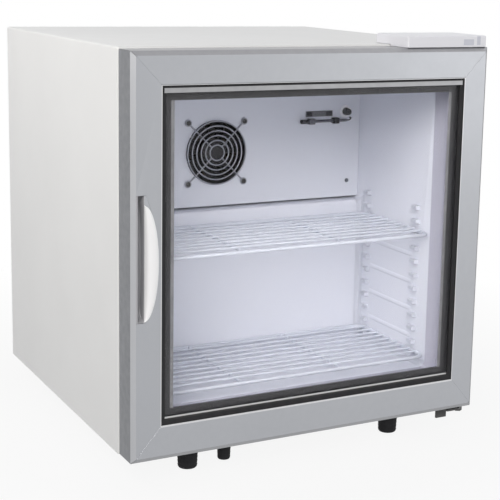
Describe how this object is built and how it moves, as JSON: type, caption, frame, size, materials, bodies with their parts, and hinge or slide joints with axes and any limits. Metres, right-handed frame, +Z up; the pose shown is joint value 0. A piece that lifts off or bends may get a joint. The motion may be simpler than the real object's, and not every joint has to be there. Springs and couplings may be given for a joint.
{
  "type": "refrigerated display cabinet",
  "caption": "Counter-top refrigerated display cabinet with a framed double-glazed door, recessed grip, wire shelves, guarded fan, thermostat and a compressor cooling unit.",
  "frame": {"origin": "centre of the cabinet's footprint, in the plane on which the feet stand", "axes": "+Z up, -Y out of the door's front, +X to the hinge side of the door"},
  "size_m": [0.48, 0.48, 0.5265],
  "materials": {
    "white_steel": "satin white powder coat",
    "zinc_steel": "zinc plated",
    "black_steel": "satin black paint",
    "liner_plastic": "smooth white moulding",
    "foam": "rigid foam",
    "anodised_aluminium": "satin anodised extrusion",
    "clear_glass": "clear polished",
    "black_rubber": "matt",
    "grey_rubber": "matt",
    "spacer_metal": "dark anodised",
    "black_plastic": "satin",
    "white_plastic": "glossy",
    "plated_wire": "bright plated",
    "coated_wire": "white coated",
    "copper": "drawn copper tube",
    "bare_aluminium": "mill finish"
  },
  "bodies": {
    "cabinet": {"outer_shell": "white_steel", "base_plate": "white_steel", "rear_panel": "white_steel", "machine_cover": "white_steel", "inner_liner": "liner_plastic", "foam_insulation": "foam", "machine_shield": "zinc_steel", "front_left_foot": "black_rubber", "front_right_foot": "black_rubber", "rear_left_foot": "black_rubber", "rear_right_foot": "black_rubber", "drain_plug": "black_rubber", "top_hinge_bracket": "zinc_steel", "bottom_hinge_bracket": "black_steel", "hinge_cover": "white_plastic", "evaporator_cover": "liner_plastic", "fan_housing": "black_plastic", "fan_guard": "plated_wire", "thermostat": "zinc_steel", "sensor_bulb": "black_plastic", "left_bulb_clip": "black_plastic", "right_bulb_clip": "black_plastic", "evaporator_fins": "bare_aluminium", "evaporator_tube": "copper", "drip_tray": "liner_plastic", "drain_tube": "grey_rubber", "compressor": "black_steel", "front_left_mount": "black_rubber", "front_right_mount": "black_rubber", "rear_left_mount": "black_rubber", "rear_right_mount": "black_rubber", "relay_box": "black_plastic", "condenser_fins": "bare_aluminium", "condenser_tube": "copper", "filter_drier": "copper", "discharge_pipe": "copper", "suction_pipe": "copper", "capillary_tube": "copper", "power_inlet": "black_plastic"},
    "door": {"left_stile": "anodised_aluminium", "right_stile": "anodised_aluminium", "top_rail": "anodised_aluminium", "bottom_rail": "anodised_aluminium", "top_left_key": "zinc_steel", "top_right_key": "zinc_steel", "bottom_left_key": "zinc_steel", "bottom_right_key": "zinc_steel", "outer_pane": "clear_glass", "inner_pane": "clear_glass", "glazing_gasket": "black_rubber", "spacer_frame": "spacer_metal", "glazing_bead": "white_plastic", "magnetic_seal": "grey_rubber", "top_hinge_bush": "black_plastic", "bottom_hinge_bush": "black_plastic", "handle_cup": "white_plastic"},
    "fan": {"fan_rotor": "black_plastic"},
    "knob": {"thermostat_knob": "black_plastic"},
    "upper_rack": {"upper_shelf": "coated_wire"},
    "lower_rack": {"lower_shelf": "coated_wire"}
  },
  "joints": [
    {"name": "door_hinge", "type": "hinge", "parent": "cabinet", "child": "door", "pos_m": [0.2295, -0.222, 0.275], "axis": [0, 0, 1], "range_deg": [0, 115]},
    {"name": "fan_spin", "type": "hinge", "parent": "cabinet", "child": "fan", "pos_m": [-0.0235, 0.0207, 0.35704], "axis": [0, 1, 0], "continuous": true},
    {"name": "knob_turn", "type": "hinge", "parent": "cabinet", "child": "knob", "pos_m": [0.1775, 0.0067, 0.4065], "axis": [0, 1, 0], "range_deg": [0, 270]},
    {"name": "upper_rack_slide", "type": "slide", "parent": "cabinet", "child": "upper_rack", "axis": [0, -1, 0], "range_m": [0, 0.008]},
    {"name": "lower_rack_slide", "type": "slide", "parent": "cabinet", "child": "lower_rack", "axis": [0, -1, 0], "range_m": [0, 0.008]}
  ]
}
